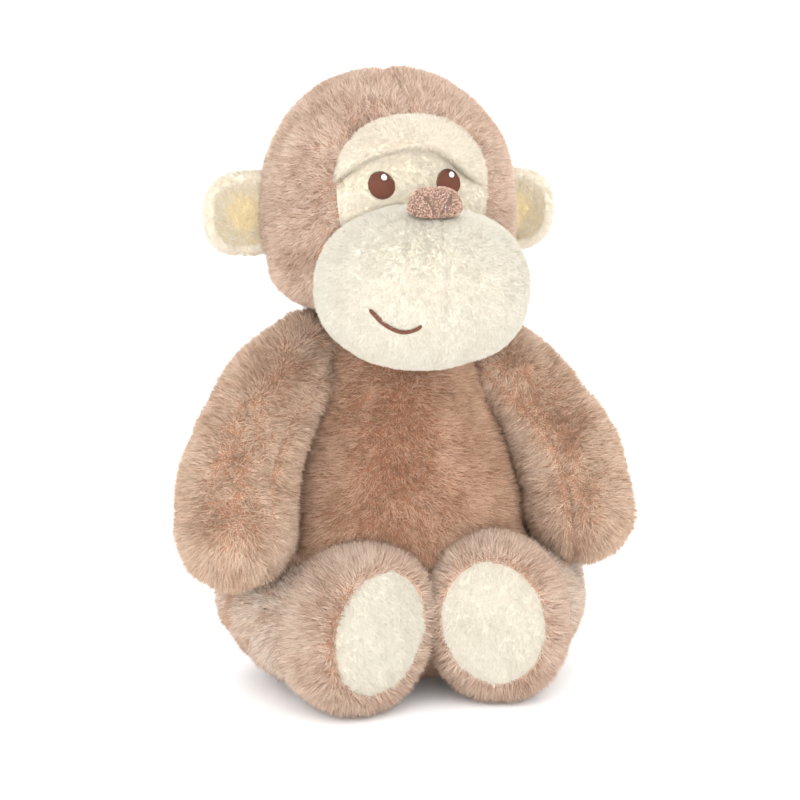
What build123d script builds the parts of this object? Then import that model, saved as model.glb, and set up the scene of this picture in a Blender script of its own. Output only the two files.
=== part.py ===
from build123d import *

import os
from math import cos, radians, sin, tan

# A stuffed monkey, sitting. Millimetres, +Z up, the toy faces -Y, so its own left is +X.
# The origin is the middle of the flat seat, on the surface that the toy sits on.
# Covers are thin shells of plush cloth, and a filling of loose fibre sits inside each.

# ---- Driving dimensions ------------------------------------------------------------------

CLOTH = 1.2            # plush backing, sewn
GAP = 0.2              # between a cover and its filling, within one moving piece
CLEARANCE = 0.6        # between moving pieces at a seam
SIDES = {"left": 1, "right": -1}

# Torso: half widths and half depths of the pear shape at each height.
TORSO_SECTIONS = [
    (0.0, 44.0, 34.0), (4.0, 51.0, 40.0), (14.0, 55.5, 44.0), (36.0, 57.5, 46.0),
    (62.0, 55.5, 45.5), (86.0, 49.5, 42.0), (106.0, 41.5, 36.0), (124.0, 33.0, 29.0),
    (136.0, 25.0, 22.0), (140.0, 19.0, 17.0),
]
SEAT_PANEL_HEIGHT = 12.0
BEAN_BAG_CENTRE = (0, 12, 21)
BEAN_BAG_HALF_WIDTH = 22.0
BEAN_BAG_RADIUS = 15.0
POUCH_CLOTH = 0.6

# Trim at the back: height and half depth of the torso at each hand stitch, and the label.
THREAD_RADIUS = 0.35
STITCH_LENGTH = 3.5
CLOSING_STITCHES = [(44.0, 46.6), (50.0, 46.6), (56.0, 46.3), (62.0, 45.9), (68.0, 45.3), (74.0, 44.7)]
LABEL_SIZE = (14.0, 10.0)
LABEL_THICKNESS = 0.5
LABEL_BACK = 44.6

# Neck: a firm ball of filling that the head turns and nods on.
NECK_CENTRE = (-1.0, 0.0, 141.0)
NECK_RADIUS = 14.5

# Head: a ball, set a little to the toy's right.
HEAD_CENTRE = (-2.5, 2.0, 197.3)
HEAD_RADIUS = 51.2
FACE_DEPTH = 36.0            # how far forward the face patch lies, sunk under the brow
FACE_HALF_SIZE = (31.0, 22.0)
FACE_CENTRE_HEIGHT = 203.0
PATCH_THICKNESS = 1.5
BAY_REACH = 30.0             # long enough to run out through the face
EYE_SPACING = 26.8
EYE_HEIGHT = 206.0
EYE_RADIUS = 5.2
GLINT_OFFSET = (1.2, 2.8)
GLINT_RADIUS = 0.9
EMBROIDERY = 0.8             # how far the satin stitches stand up

# Brow: a padded crescent over the face patch.
BROW_HALF_WIDTH = 30.0
BROW_END_HEIGHT = 209.0
BROW_TOP_HEIGHT = 235.0
BROW_CREASE_HEIGHT = 222.0
BROW_RELIEF = 4.5            # how far it stands out of the head
BROW_TAPER = 4.0             # how much sooner the filling ends than the cover, per unit of inset

# Muzzle: a round-ended roll across the face, its left end a little lower.
MUZZLE_CENTRE = (-2.5, -50.0, 168.5)
MUZZLE_HALF_WIDTH = 43.0
MUZZLE_RADIUS = 32.8
MUZZLE_TILT = 2.5
NOSE_CENTRE = (-2.5, -62.5, 202.5)
NOSE_HALF_SIZE = (11.5, 6.0)
SMILE_POINTS = [(-28.0, 164.8), (-18.5, 156.6), (-8.7, 160.0)]   # X from the head's middle, Z
SMILE_WIDTH = 1.5

# Ears: round cups standing out sideways, each on an upright fold line.
EAR_RADIUS = 17.5
EAR_THICKNESS = 7.0
EAR_CENTRE_OUT = 60.5        # from the head's middle
EAR_HEIGHT = 189.0
EAR_BACK = 11.0
EAR_FOLD_OUT = 53.2
EAR_CUP_RADIUS = 12.5
EAR_CUP_DEPTH = 1.6
EAR_ROOT = 2.2               # radius of the soft fold
EAR_ROOT_HEIGHT = 24.0

# Arms: from the shoulder to the hand, on the left side.
ARM_PATH = [(36.0, -1.0, 133.0), (59.5, -10.0, 113.0), (72.5, -21.5, 88.5), (74.5, -30.0, 68.5)]
ARM_RADII = [16.5, 19.5, 22.0, 21.5]
ARM_SWING_ROOM = 0.8         # more room round the shoulder, for an arm that swings

# Legs: from the hip to the ankle, on the left side, and the foot beyond it.
HIP = (50.0, -5.0, 28.5)
ANKLE = (33.5, -39.5, 30.5)
LEG_STATIONS = [0.0, 0.4, 0.72, 0.9, 1.0]
LEG_RADII = [27.0, 25.6, 24.0, 20.6, 19.5]
LEG_REACH = 70.0             # long enough to run out through the belly
LEG_ROOM_SLOPE = 24.0        # rise of the leg's room ahead of the hip, degrees, for a lifted foot
ANKLE_CLEARANCE = 2.0
SOLE_CENTRE = (24.6, -67.0, 33.8)
SOLE_TOE_IN = 20.0
SOLE_LEAN_BACK = 6.0
SOLE_ROLL = 9.0              # tops of the soles lean together
SOLE_HALF_SIZE = (21.0, 25.5)
SOLE_THICKNESS = 1.6
FOOT_SECTIONS = [
    (0.0, 22.0, 26.6), (3.0, 24.4, 30.0), (11.0, 26.4, 32.3), (20.0, 26.2, 32.0), (26.5, 24.5, 29.0),
]

os.makedirs("parts", exist_ok=True)


# ---- Shapes used more than once ----------------------------------------------------------

def capsule(centre, across, half_length, radius):
    """A round-ended roll: half_length along the direction across, and radius round it."""
    along = Vector(*across)
    upright = along.cross(Vector(0, 1, 0)).normalized() * -1
    with BuildPart() as solid:
        with BuildSketch(Plane(origin=centre, x_dir=along, z_dir=along.cross(upright))):
            SlotOverall(2 * half_length, 2 * radius)
            Rectangle(3 * half_length, 2 * radius, align=(Align.CENTER, Align.MAX), mode=Mode.SUBTRACT)
        revolve(axis=Axis(centre, across))
    return solid.part


def ball(centre, radius):
    """A solid ball."""
    with BuildPart() as solid:
        with Locations(centre):
            Sphere(radius)
    return solid.part


def pear(inset):
    """The torso's outline, smaller by inset all round."""
    with BuildPart() as solid:
        for height, half_width, half_depth in TORSO_SECTIONS:
            with BuildSketch(Plane.XY.offset(min(max(height, inset), TORSO_SECTIONS[-1][0] - inset))):
                Ellipse(half_width - inset, half_depth - inset)
        loft()
    return solid.part


def limb(points, radii, inset=0.0):
    """A soft tube through the points, with a domed end at each."""
    spots = [Vector(*point) for point in points]
    sizes = [radius - inset for radius in radii]
    first = (spots[1] - spots[0]).normalized()
    last = (spots[-1] - spots[-2]).normalized()
    stations = []
    for angle in (78, 52, 26):
        stations.append((spots[0] - first * (sizes[0] * sin(radians(angle))), first, sizes[0] * cos(radians(angle))))
    for index, spot in enumerate(spots):
        before = spots[max(index - 1, 0)]
        after = spots[min(index + 1, len(spots) - 1)]
        stations.append((spot, (after - before).normalized(), sizes[index]))
    for angle in (26, 52, 78):
        stations.append((spots[-1] + last * (sizes[-1] * sin(radians(angle))), last, sizes[-1] * cos(radians(angle))))
    with BuildPart() as solid:
        for spot, heading, size in stations:
            with BuildSketch(Plane(origin=spot, x_dir=heading.cross(Vector(0, 1, 0)), z_dir=heading)):
                Circle(size)
        loft()
    return solid.part


def save(builder, name):
    """Label a finished piece and write it."""
    builder.part.label = name
    export_step(builder.part, f"parts/{name}.step")


# ---- Torso -------------------------------------------------------------------------------

def leg_room(growth):
    """The space that the left leg sweeps: its hip ball and the wedge in front of it."""
    hip = Vector(*HIP)
    ahead = Vector(ANKLE[0] - HIP[0], ANKLE[1] - HIP[1], 0).normalized()
    room_radius = LEG_RADII[0] + growth
    half_width = room_radius + GAP
    top = half_width + LEG_REACH * tan(radians(LEG_ROOM_SLOPE))
    with BuildPart() as room:
        with Locations(hip):
            Sphere(room_radius)
            Cylinder(room_radius, 2 * hip.Z, align=(Align.CENTER, Align.CENTER, Align.MAX))
        with BuildSketch(Plane(origin=hip, x_dir=ahead, z_dir=ahead.cross(Vector(0, 0, 1)))):
            with BuildLine():
                Polyline(
                    (0, half_width), (LEG_REACH, top), (LEG_REACH, -2 * hip.Z), (0, -2 * hip.Z), close=True
                )
            make_face()
        extrude(amount=half_width, both=True)
    return room.part


def arm_room(growth):
    """The space that the top of the left arm takes in the torso's side: a ball and a cone."""
    shoulder = Vector(*ARM_PATH[0])
    elbow = Vector(*ARM_PATH[1])
    heading = elbow - shoulder
    with BuildPart() as room:
        with Locations(shoulder):
            Sphere(ARM_RADII[0] + growth)
        with BuildSketch(Plane(origin=shoulder, z_dir=heading)):
            Circle(ARM_RADII[0] + growth - GAP)
        with BuildSketch(Plane(origin=elbow, z_dir=heading)):
            Circle(ARM_RADII[1] + growth)
        loft(ruled=True)
    return room.part


def moving_room(growth):
    """All the space that the neck, arms and legs take in the torso."""
    with BuildPart() as rooms:
        add(ball(NECK_CENTRE, NECK_RADIUS + growth))
        for room in (leg_room(growth), arm_room(growth + ARM_SWING_ROOM)):
            add(room)
            mirror(room, about=Plane.YZ)
    return rooms.part


def torso_shape(inset):
    """The torso with room for its neck, arms and legs, smaller by inset all round."""
    with BuildPart() as solid:
        add(pear(inset))
        add(moving_room(CLEARANCE + inset), mode=Mode.SUBTRACT)
    return solid.part


with BuildPart() as torso_skin:
    add(torso_shape(0))
    add(torso_shape(CLOTH), mode=Mode.SUBTRACT)

with BuildPart() as seat_panel:
    add(torso_skin.part)
    split(bisect_by=Plane.XY.offset(SEAT_PANEL_HEIGHT), keep=Keep.BOTTOM)
save(seat_panel, "seat_panel")

with BuildPart() as torso_front_panel:
    add(torso_skin.part)
    split(bisect_by=Plane.XY.offset(SEAT_PANEL_HEIGHT), keep=Keep.TOP)
    split(bisect_by=Plane.ZX, keep=Keep.BOTTOM)
save(torso_front_panel, "torso_front_panel")

for side_name, keep in (("left", Keep.TOP), ("right", Keep.BOTTOM)):
    with BuildPart() as back_panel:
        add(torso_skin.part)
        split(bisect_by=Plane.XY.offset(SEAT_PANEL_HEIGHT), keep=Keep.TOP)
        split(bisect_by=Plane.ZX, keep=Keep.TOP)
        split(bisect_by=Plane.YZ, keep=keep)
    save(back_panel, f"torso_back_{side_name}_panel")


def bean_bag(inset):
    """The weight in the seat, smaller by inset all round."""
    return capsule(BEAN_BAG_CENTRE, (1, 0, 0), BEAN_BAG_HALF_WIDTH - inset, BEAN_BAG_RADIUS - inset)


with BuildPart() as torso_filling:
    add(torso_shape(CLOTH + GAP))
    add(bean_bag(-GAP), mode=Mode.SUBTRACT)
save(torso_filling, "torso_filling")

with BuildPart() as bean_pouch:
    add(bean_bag(0))
    add(bean_bag(POUCH_CLOTH), mode=Mode.SUBTRACT)
save(bean_pouch, "bean_pouch")

with BuildPart() as bean_pellets:
    add(bean_bag(POUCH_CLOTH + GAP))
save(bean_pellets, "bean_pellets")

# Short ladder stitches cross the middle back seam, which is closed by hand after filling.
with BuildPart() as closing_stitches:
    for height, depth in CLOSING_STITCHES:
        with Locations(Location((0, depth + THREAD_RADIUS, height), (0, 90, 0))):
            Cylinder(THREAD_RADIUS, STITCH_LENGTH)
save(closing_stitches, "closing_stitches")

# A blank folded label hangs from the seam between the back and the seat.
with BuildPart() as care_label:
    with Locations((0, LABEL_BACK, SEAT_PANEL_HEIGHT)):
        Box(LABEL_SIZE[0], LABEL_THICKNESS, LABEL_SIZE[1], align=(Align.CENTER, Align.MIN, Align.MAX))
save(care_label, "care_label")

# ---- Neck --------------------------------------------------------------------------------

with BuildPart() as neck_filling:
    add(ball(NECK_CENTRE, NECK_RADIUS))
save(neck_filling, "neck_filling")

# ---- Head --------------------------------------------------------------------------------

HEAD_X = HEAD_CENTRE[0]
FACING = Vector(0, -1, 0)


def head_ball(inset):
    """The head's outline, smaller by inset all round."""
    return ball(HEAD_CENTRE, HEAD_RADIUS - inset)


def face_plane(depth, height=0.0, across=0.0):
    """An upright plane facing forward, depth in front of the head's middle."""
    return Plane(origin=(HEAD_X + across, -depth, height), x_dir=(1, 0, 0), z_dir=FACING)


def face_bay(floor, margin):
    """The hollow in the front of the head that the face patch closes."""
    with BuildPart() as bay:
        with BuildSketch(face_plane(floor, FACE_CENTRE_HEIGHT)):
            Ellipse(FACE_HALF_SIZE[0] + margin, FACE_HALF_SIZE[1] + margin)
        extrude(amount=BAY_REACH)
    return bay.part


def muzzle_roll(inset):
    """The muzzle's outline, smaller by inset all round."""
    across = (cos(radians(MUZZLE_TILT)), 0, -sin(radians(MUZZLE_TILT)))
    return capsule(MUZZLE_CENTRE, across, MUZZLE_HALF_WIDTH - inset, MUZZLE_RADIUS - inset)


with BuildPart() as head_skin:
    add(head_ball(0))
    add(head_ball(CLOTH), mode=Mode.SUBTRACT)
    add(face_bay(FACE_DEPTH, 0), mode=Mode.SUBTRACT)
    add(ball(NECK_CENTRE, NECK_RADIUS + CLEARANCE), mode=Mode.SUBTRACT)

for side_name, keep in (("left", Keep.TOP), ("right", Keep.BOTTOM)):
    with BuildPart() as head_panel:
        add(head_skin.part)
        split(bisect_by=Plane.YZ.offset(HEAD_X), keep=keep)
    save(head_panel, f"head_{side_name}_panel")

with BuildPart() as head_filling:
    add(head_ball(CLOTH + GAP))
    add(face_bay(FACE_DEPTH - GAP, GAP), mode=Mode.SUBTRACT)
    add(ball(NECK_CENTRE, NECK_RADIUS + CLEARANCE + GAP), mode=Mode.SUBTRACT)
save(head_filling, "head_filling")

with BuildPart() as face_patch:
    with BuildSketch(face_plane(FACE_DEPTH, FACE_CENTRE_HEIGHT)):
        Ellipse(FACE_HALF_SIZE[0] - GAP, FACE_HALF_SIZE[1] - GAP)
    extrude(amount=PATCH_THICKNESS)
save(face_patch, "face_patch")


def brow_crescent(inset):
    """The brow's outline from the front, run back through the head."""
    ends = BROW_HALF_WIDTH - BROW_TAPER * inset
    with BuildPart() as crescent:
        with BuildSketch(face_plane(0)):
            with BuildLine():
                ThreePointArc((-ends, BROW_END_HEIGHT), (0, BROW_TOP_HEIGHT - inset), (ends, BROW_END_HEIGHT))
                ThreePointArc((-ends, BROW_END_HEIGHT), (0, BROW_CREASE_HEIGHT + inset), (ends, BROW_END_HEIGHT))
            make_face()
        extrude(amount=HEAD_RADIUS + BAY_REACH)
    return crescent.part


with BuildPart() as brow_filling:
    add(brow_crescent(CLOTH + 2 * GAP))
    add(head_ball(CLOTH + GAP - BROW_RELIEF), mode=Mode.INTERSECT)
    add(head_ball(-GAP), mode=Mode.SUBTRACT)
save(brow_filling, "brow_filling")

with BuildPart() as brow_hollow:
    add(brow_crescent(CLOTH))
    add(head_ball(CLOTH - BROW_RELIEF), mode=Mode.INTERSECT)

with BuildPart() as brow_band:
    add(brow_crescent(0))
    add(head_ball(-BROW_RELIEF), mode=Mode.INTERSECT)
    add(head_ball(-GAP), mode=Mode.SUBTRACT)
    add(brow_hollow.part, mode=Mode.SUBTRACT)
save(brow_band, "brow_band")

# The muzzle's back fits the head, and fills the bottom of the bay in front of the patch.
with BuildPart() as muzzle_seat:
    add(head_ball(-GAP))
    add(face_bay(FACE_DEPTH + PATCH_THICKNESS + GAP, -GAP), mode=Mode.SUBTRACT)

with BuildPart() as muzzle_skin:
    add(muzzle_roll(0))
    add(muzzle_roll(CLOTH), mode=Mode.SUBTRACT)
    add(muzzle_seat.part, mode=Mode.SUBTRACT)

for side_name, keep in (("left", Keep.TOP), ("right", Keep.BOTTOM)):
    with BuildPart() as muzzle_panel:
        add(muzzle_skin.part)
        split(bisect_by=Plane.YZ.offset(HEAD_X), keep=keep)
    save(muzzle_panel, f"muzzle_{side_name}_panel")

with BuildPart() as muzzle_filling:
    add(muzzle_roll(CLOTH + GAP))
    add(muzzle_seat.part, mode=Mode.SUBTRACT)
save(muzzle_filling, "muzzle_filling")


def nose_roll(inset):
    """The nose pad's outline, smaller by inset all round."""
    return capsule(NOSE_CENTRE, (1, 0, 0), NOSE_HALF_SIZE[0] - inset, NOSE_HALF_SIZE[1] - inset)


with BuildPart() as nose_cover:
    add(nose_roll(0))
    add(nose_roll(CLOTH), mode=Mode.SUBTRACT)
    add(muzzle_roll(-GAP), mode=Mode.SUBTRACT)
save(nose_cover, "nose_cover")

with BuildPart() as nose_filling:
    add(nose_roll(CLOTH + GAP))
    add(muzzle_roll(-GAP), mode=Mode.SUBTRACT)
save(nose_filling, "nose_filling")

for side_name, side in SIDES.items():
    eye_place = face_plane(FACE_DEPTH + PATCH_THICKNESS, EYE_HEIGHT, side * EYE_SPACING / 2)
    with BuildPart() as eye:
        with BuildSketch(eye_place):
            Circle(EYE_RADIUS)
        extrude(amount=EMBROIDERY)
        fillet(eye.faces().sort_by(Axis.Y).first.edges(), EMBROIDERY / 2)
    save(eye, f"{side_name}_eye")
    with BuildPart() as glint:
        with BuildSketch(eye_place.offset(EMBROIDERY)):
            with Locations(GLINT_OFFSET):
                Circle(GLINT_RADIUS)
        extrude(amount=EMBROIDERY / 2)
    save(glint, f"{side_name}_eye_glint")

# The smile is a band of satin stitch on the right half of the muzzle.
with BuildPart() as smile:
    with BuildSketch(face_plane(-MUZZLE_CENTRE[1])):
        with BuildLine() as smile_line:
            ThreePointArc(*SMILE_POINTS)
        trace(smile_line.line, SMILE_WIDTH)
    extrude(amount=2 * MUZZLE_RADIUS)
    add(muzzle_roll(-EMBROIDERY), mode=Mode.INTERSECT)
    add(muzzle_roll(0), mode=Mode.SUBTRACT)
save(smile, "smile")

# ---- Ears --------------------------------------------------------------------------------

for side_name, side in SIDES.items():
    fold = HEAD_X + side * EAR_FOLD_OUT
    ear_plane = Plane(origin=(HEAD_X, EAR_BACK, EAR_HEIGHT), x_dir=(1, 0, 0), z_dir=FACING)
    with BuildPart() as ear_shape:
        with BuildSketch(ear_plane):
            with Locations((side * EAR_CENTRE_OUT, 0)):
                Circle(EAR_RADIUS)
        extrude(amount=EAR_THICKNESS / 2, both=True)
        fillet(ear_shape.edges().filter_by(GeomType.CIRCLE), EAR_THICKNESS / 2 - CLEARANCE)
        with Locations((fold + side * EAR_ROOT, EAR_BACK, EAR_HEIGHT)):
            inward = (Align.MAX if side > 0 else Align.MIN, Align.CENTER, Align.CENTER)
            Box(EAR_RADIUS, 2 * EAR_THICKNESS, 3 * EAR_RADIUS, align=inward, mode=Mode.SUBTRACT)
        with Locations((fold, EAR_BACK, EAR_HEIGHT)):
            Cylinder(EAR_ROOT, EAR_ROOT_HEIGHT)
            outward = (Align.MIN if side > 0 else Align.MAX, Align.CENTER, Align.CENTER)
            Box(2 * EAR_ROOT, EAR_ROOT, EAR_ROOT_HEIGHT, align=outward)
    cup_plane = ear_plane.offset(EAR_THICKNESS / 2 - EAR_CUP_DEPTH)
    with BuildPart() as ear_inner:
        with BuildSketch(cup_plane):
            with Locations((side * EAR_CENTRE_OUT, 0)):
                Circle(EAR_CUP_RADIUS)
            with Locations((side * (EAR_FOLD_OUT + 2 * EAR_ROOT), 0)):
                Rectangle(EAR_RADIUS, 3 * EAR_RADIUS, align=inward[:2], mode=Mode.SUBTRACT)
        extrude(amount=EAR_CUP_DEPTH)
    save(ear_inner, f"{side_name}_ear_inner")
    with BuildPart() as ear_back:
        add(ear_shape.part)
        add(ear_inner.part, mode=Mode.SUBTRACT)
    save(ear_back, f"{side_name}_ear_back")

# ---- Arms, legs and feet: made on the left, and mirrored to the right --------------------


def save_pair(piece, name):
    """Write the left piece and its mirror image."""
    for side_name in SIDES:
        with BuildPart() as copy:
            if side_name == "left":
                add(piece)
            else:
                mirror(piece, about=Plane.YZ)
        save(copy, f"{side_name}_{name}")


def save_limb(points, radii, seam, name):
    """Write a limb's outer and inner cover panels and its filling, for both sides."""
    with BuildPart() as skin:
        add(limb(points, radii))
        add(limb(points, radii, CLOTH), mode=Mode.SUBTRACT)
    for panel_name, keep in (("outer", Keep.TOP), ("inner", Keep.BOTTOM)):
        with BuildPart() as panel:
            add(skin.part)
            split(bisect_by=seam, keep=keep)
        save_pair(panel.part, f"{name}_{panel_name}_panel")
    save_pair(limb(points, radii, CLOTH + GAP), f"{name}_filling")


arm_chord = Vector(*ARM_PATH[-1]) - Vector(*ARM_PATH[0])
arm_seam = Plane(origin=ARM_PATH[1], x_dir=(0, 1, 0), z_dir=(-arm_chord.Z, 0, arm_chord.X))
save_limb(ARM_PATH, ARM_RADII, arm_seam, "arm")

leg_line = Vector(*ANKLE) - Vector(*HIP)
leg_points = [tuple(Vector(*HIP) + leg_line * station) for station in LEG_STATIONS]
leg_seam = Plane(origin=HIP, x_dir=(0, 0, 1), z_dir=Vector(0, 0, 1).cross(leg_line))
save_limb(leg_points, LEG_RADII, leg_seam, "leg")


def sole_plane():
    """The plane of the left sole, facing forward, with its Y axis up the sole."""
    toe_in = radians(SOLE_TOE_IN)
    lean = radians(SOLE_LEAN_BACK)
    facing = Vector(-sin(toe_in) * cos(lean), -cos(toe_in) * cos(lean), sin(lean))
    upright = Plane(origin=SOLE_CENTRE, x_dir=Vector(0, 0, 1).cross(facing), z_dir=facing)
    return upright.rotated((0, 0, SOLE_ROLL))


def foot_shape(inset):
    """The foot's outline behind its sole, smaller by inset all round."""
    deepest = FOOT_SECTIONS[-1][0]
    with BuildPart() as solid:
        for depth, half_width, half_height in FOOT_SECTIONS:
            with BuildSketch(sole_plane().offset(-min(max(depth, inset), deepest - inset))):
                Ellipse(half_width - inset, half_height - inset)
        loft()
    return solid.part


def sole_shape(margin):
    """The sole's pad, larger by margin all round."""
    with BuildPart() as pad:
        with BuildSketch(sole_plane()):
            Ellipse(SOLE_HALF_SIZE[0] + margin, SOLE_HALF_SIZE[1] + margin)
        extrude(amount=-(SOLE_THICKNESS + margin))
    return pad.part


with BuildPart() as foot_cover:
    add(foot_shape(0))
    add(foot_shape(CLOTH), mode=Mode.SUBTRACT)
    add(sole_shape(0), mode=Mode.SUBTRACT)
    add(ball(ANKLE, LEG_RADII[-1] + ANKLE_CLEARANCE), mode=Mode.SUBTRACT)
save_pair(foot_cover.part, "foot_cover")

with BuildPart() as foot_filling:
    add(foot_shape(CLOTH + GAP))
    add(sole_shape(GAP), mode=Mode.SUBTRACT)
    add(ball(ANKLE, LEG_RADII[-1] + ANKLE_CLEARANCE), mode=Mode.SUBTRACT)
save_pair(foot_filling.part, "foot_filling")

save_pair(sole_shape(0), "sole_pad")
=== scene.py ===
import itertools
import math
from collections import namedtuple

import bpy
import numpy as np
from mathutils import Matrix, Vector, bvhtree, kdtree


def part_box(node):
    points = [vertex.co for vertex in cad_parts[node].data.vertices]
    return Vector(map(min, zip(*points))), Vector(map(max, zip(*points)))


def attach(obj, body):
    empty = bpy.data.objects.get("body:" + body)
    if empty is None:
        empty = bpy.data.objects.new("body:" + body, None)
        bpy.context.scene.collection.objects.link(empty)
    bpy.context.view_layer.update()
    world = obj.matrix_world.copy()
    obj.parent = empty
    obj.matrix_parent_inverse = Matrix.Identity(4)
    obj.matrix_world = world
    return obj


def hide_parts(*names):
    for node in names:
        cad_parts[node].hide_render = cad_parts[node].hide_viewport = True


# A stuffed monkey: sewn cloth covers puffed out over their fillings, and a pile of real strands
# on every cover. Metres in the scene; the numbers below are millimetres, and MM turns them.

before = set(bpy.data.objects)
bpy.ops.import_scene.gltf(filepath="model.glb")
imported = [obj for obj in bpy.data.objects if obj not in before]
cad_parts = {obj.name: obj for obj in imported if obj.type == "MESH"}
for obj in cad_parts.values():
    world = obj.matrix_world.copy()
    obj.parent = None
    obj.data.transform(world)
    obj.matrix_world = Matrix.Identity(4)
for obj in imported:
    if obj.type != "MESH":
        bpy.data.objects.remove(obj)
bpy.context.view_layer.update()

MM = 0.001
SIDES = {"left": 1.0, "right": -1.0}
SEED = 7
X, Y, Z = np.eye(3)


# ---- The frame, in millimetres ----

def cad_box(*nodes):
    """Lowest and highest corner round some CAD nodes, in millimetres."""
    low, high = zip(*(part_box(node) for node in nodes))
    return np.min(low, axis=0) / MM, np.max(high, axis=0) / MM


HEAD_LOW, HEAD_HIGH = cad_box("head_left_panel", "head_right_panel")
HEAD = (HEAD_LOW + HEAD_HIGH) / 2
HEAD_RADIUS = (HEAD_HIGH[0] - HEAD_LOW[0]) / 2
HEAD[2] = HEAD_HIGH[2] - HEAD_RADIUS
MUZZLE_Z = sum(cad_box("muzzle_left_panel", "muzzle_right_panel"))[2] / 2
TORSO_TOP = cad_box("torso_front_panel", "torso_back_left_panel")[1][2]
NOSE_LOW, NOSE_HIGH = cad_box("nose_cover")
NOSE_BOTTOM, NOSE_BACK = NOSE_LOW[2], NOSE_HIGH[1]


# ---- Small helpers ----

def unit(vectors):
    """Vectors scaled to length 1."""
    return vectors / np.maximum(np.linalg.norm(vectors, axis=-1, keepdims=True), 1e-9)


def smooth_step(low, high, value):
    """0 below low, 1 above high, and a smooth rise between."""
    share = np.clip((value - low) / (high - low), 0.0, 1.0)
    return share * share * (3.0 - 2.0 * share)


def hashed(cells, seed):
    """A repeatable random number from 0 to 1 for each whole-number cell."""
    mixed = cells[..., 0] * 73856093 ^ cells[..., 1] * 19349663 ^ cells[..., 2] * 83492791 ^ seed * 2654435761
    mixed = (mixed ^ (mixed >> 13)) * 1274126177 & 0x7FFFFFFF
    return (mixed ^ (mixed >> 16)) % 65536 / 65535.0


def noise(points, size, seed):
    """Smooth noise from -1 to 1 at points, with lumps about size across."""
    scaled = points / size
    base = np.floor(scaled).astype(np.int64)
    share = smooth_step(0.0, 1.0, scaled - base)
    total = np.zeros(len(points))
    for corner in range(8):
        step = np.array([corner & 1, corner >> 1 & 1, corner >> 2 & 1])
        weight = np.prod(np.where(step == 1, share, 1.0 - share), axis=1)
        total += weight * hashed(base + step, seed)
    return total * 2.0 - 1.0


def noise_vectors(points, size, seed):
    """Smooth noise in three directions."""
    return np.stack([noise(points, size, seed + axis) for axis in range(3)], axis=1)


def facing_out(points, faces, out=None):
    """The faces, all turned over if they look into the closed form, or away from out on a sheet."""
    corners = points[np.array([face[:3] for face in faces])]
    normals = np.cross(corners[:, 1] - corners[:, 0], corners[:, 2] - corners[:, 0])
    look = corners[:, 0] - points.mean(axis=0) if out is None else out
    return faces if (normals * look).sum() > 0 else [face[::-1] for face in faces]


def make_object(name, points, faces):
    """A smooth mesh object from points in millimetres."""
    mesh = bpy.data.meshes.new(name)
    mesh.from_pydata((np.asarray(points) * MM).tolist(), [], faces)
    mesh.validate()
    mesh.shade_smooth()
    return in_scene(name, mesh)


def in_scene(name, data):
    """A new object in the scene."""
    obj = bpy.data.objects.new(name, data)
    bpy.context.scene.collection.objects.link(obj)
    return obj


def skin(name, points, faces, out=None):
    """A closed cloth's object, or a sheet's whose front looks towards out."""
    return make_object(name, points, facing_out(points, faces, out))


def unit_ball(name, subdivisions):
    """A ball's object, and the direction of each of its points."""
    bpy.ops.mesh.primitive_ico_sphere_add(subdivisions=subdivisions, radius=1.0)
    obj = bpy.context.object
    obj.name = name
    obj.data.shade_smooth()
    return obj, mesh_points(obj) * MM


def read(items, key, kind=float):
    """One property of a mesh's items, three values a row."""
    flat = np.empty(len(items) * 3, kind)
    items.foreach_get(key, flat)
    return flat.reshape(-1, 3)


def mesh_points(obj):
    """A mesh object's points, in millimetres."""
    return read(obj.data.vertices, "co") / MM


def mesh_normals(obj):
    """A mesh object's outward direction at each point."""
    return read(obj.data.vertices, "normal")


def set_points(obj, points):
    """Move a mesh object's points, given in millimetres."""
    obj.data.vertices.foreach_set("co", (points * MM).ravel())
    obj.data.update()


def keep_above(obj, height):
    """Flatten whatever hangs below a height, in millimetres."""
    points = mesh_points(obj)
    points[:, 2] = np.maximum(points[:, 2], height)
    set_points(obj, points)


def ring_loft(rings, cap_start=True, cap_end=True):
    """Points and faces of a skin over closed rings of equal count, with a point closing each end."""
    count = len(rings[0])
    points = np.concatenate(rings)
    faces = []
    for row in range(len(rings) - 1):
        for col in range(count):
            after = (col + 1) % count
            a, b = row * count, (row + 1) * count
            faces.append((a + col, a + after, b + after, b + col))
    if cap_start:
        points = np.vstack([points, rings[0].mean(axis=0)])
        faces += [(len(points) - 1, (col + 1) % count, col) for col in range(count)]
    if cap_end:
        last = (len(rings) - 1) * count
        points = np.vstack([points, rings[-1].mean(axis=0)])
        faces += [(len(points) - 1, last + col, last + (col + 1) % count) for col in range(count)]
    return points, faces


def superellipse(half_width, half_height, count, power=2.0):
    """A closed outline, from an ellipse at power 2 towards a box."""
    turn = np.linspace(0.0, 2.0 * math.pi, count, endpoint=False)
    across = half_width * signed_power(np.cos(turn), 2.0 / power)
    return across, half_height * signed_power(np.sin(turn), 2.0 / power)


def signed_power(value, power):
    """A power that keeps the sign."""
    return np.sign(value) * np.abs(value) ** power


def oval(centre, across, up, half_width, half_height, count, power=2.0):
    """A superellipse of points round a centre, on the plane of two directions."""
    u, v = superellipse(half_width, half_height, count, power)
    return centre + np.outer(u, across) + np.outer(v, up)


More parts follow.
